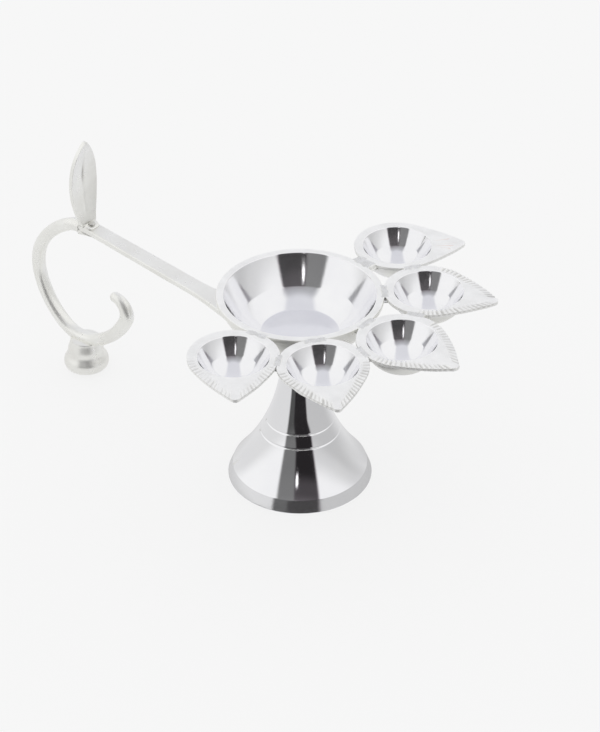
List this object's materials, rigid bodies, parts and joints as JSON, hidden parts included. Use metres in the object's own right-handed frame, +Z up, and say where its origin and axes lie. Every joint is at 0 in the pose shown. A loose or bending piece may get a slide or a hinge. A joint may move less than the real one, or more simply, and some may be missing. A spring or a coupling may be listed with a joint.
{
  "type": "aarti lamp",
  "caption": "Hand-held oil lamp: polished bowl on a trumpet foot that unscrews, leaf-shaped wick cups round the front of its rim, and a strap handle ending in a thumb leaf and a curl.",
  "frame": {"origin": "centre of the foot's ring, on the surface that the lamp stands on", "axes": "+X towards the middle cup, away from the handle; +Z up along the foot's axis"},
  "size_m": [0.169, 0.1072, 0.0857],
  "materials": {
    "polished_silver": "mirror-polished silver plate on brass",
    "matte_silver": "frosted silver plate on brass",
    "solder": "plated solder, uneven",
    "bare_brass": "turned brass"
  },
  "bodies": {
    "lamp_top": {"central_bowl": "polished_silver", "leaf_cup_1": "matte_silver", "leaf_cup_2": "matte_silver", "leaf_cup_3": "matte_silver", "leaf_cup_4": "matte_silver", "leaf_cup_5": "matte_silver", "rim_solder": "solder", "flank_solder": "solder", "foot_stud": "bare_brass", "handle_strap": "matte_silver", "handle_curl": "matte_silver", "thumb_leaf": "matte_silver", "leaf_rivet": "polished_silver", "rest_knob": "matte_silver"},
    "washer": {"foot_washer": "bare_brass"},
    "foot": {"trumpet_foot": "polished_silver"}
  },
  "joints": [
    {"name": "foot_travel", "type": "slide", "parent": "lamp_top", "child": "washer", "axis": [0, 0, -1], "range_m": [0, 0.009]},
    {"name": "foot_turn", "type": "hinge", "parent": "washer", "child": "foot", "pos_m": [0, 0, 0.0463], "axis": [0, 0, -1], "range_deg": [0, 3240]}
  ],
  "couplings": [
    {"joint": "foot_travel", "follows": "foot_turn", "m_per_rad": 0.00015915}
  ]
}
